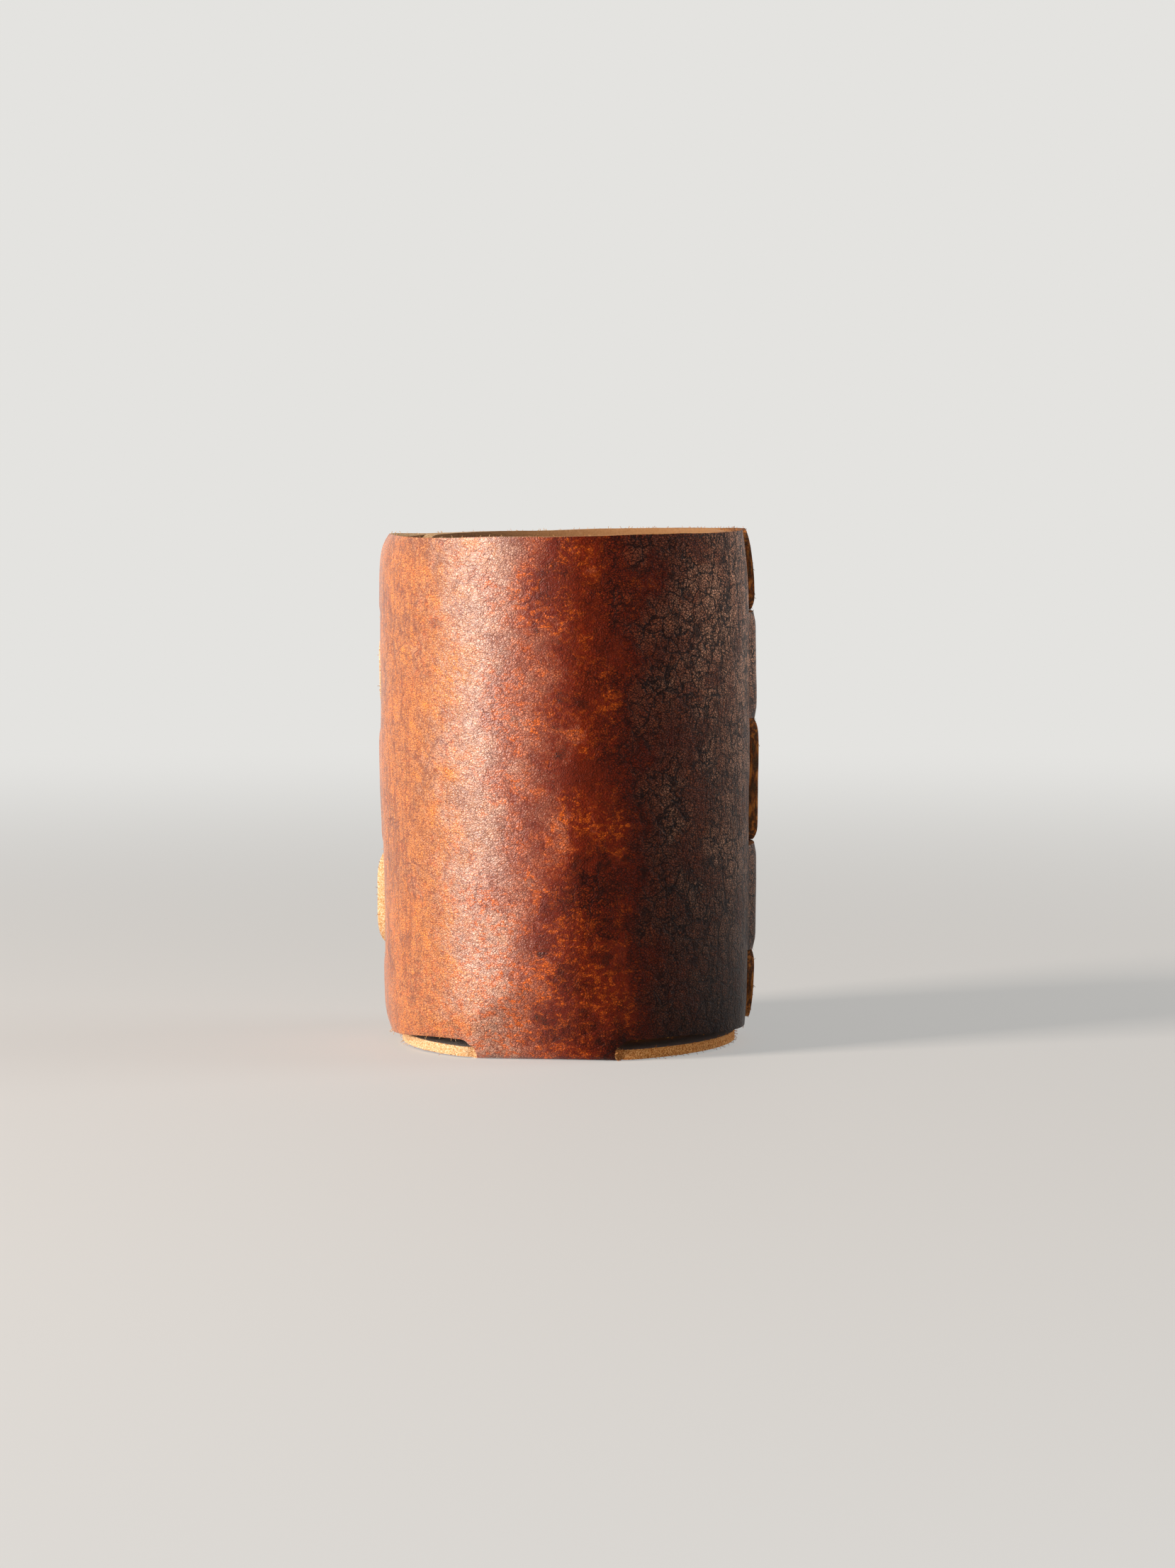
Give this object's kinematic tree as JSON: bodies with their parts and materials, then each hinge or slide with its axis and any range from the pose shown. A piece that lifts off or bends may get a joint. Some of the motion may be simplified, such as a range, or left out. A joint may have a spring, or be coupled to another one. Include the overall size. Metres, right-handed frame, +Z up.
{
  "type": "can cooler sleeve",
  "caption": "One-piece leather can sleeve with a folded round base, closed at the back by interleaved straps.",
  "frame": {"origin": "on the floor, on the axis of the wound sleeve, in the round base's flat underside", "axes": "+Z up along the sleeve's axis, -Y to the front where the neck folds under, +X to the side where the wider straps' tips end"},
  "size_m": [0.079, 0.0757, 0.1049],
  "materials": {
    "leather": "waxed, satin"
  },
  "bodies": {
    "root": {"leather_sleeve": "leather"}
  },
  "joints": []
}
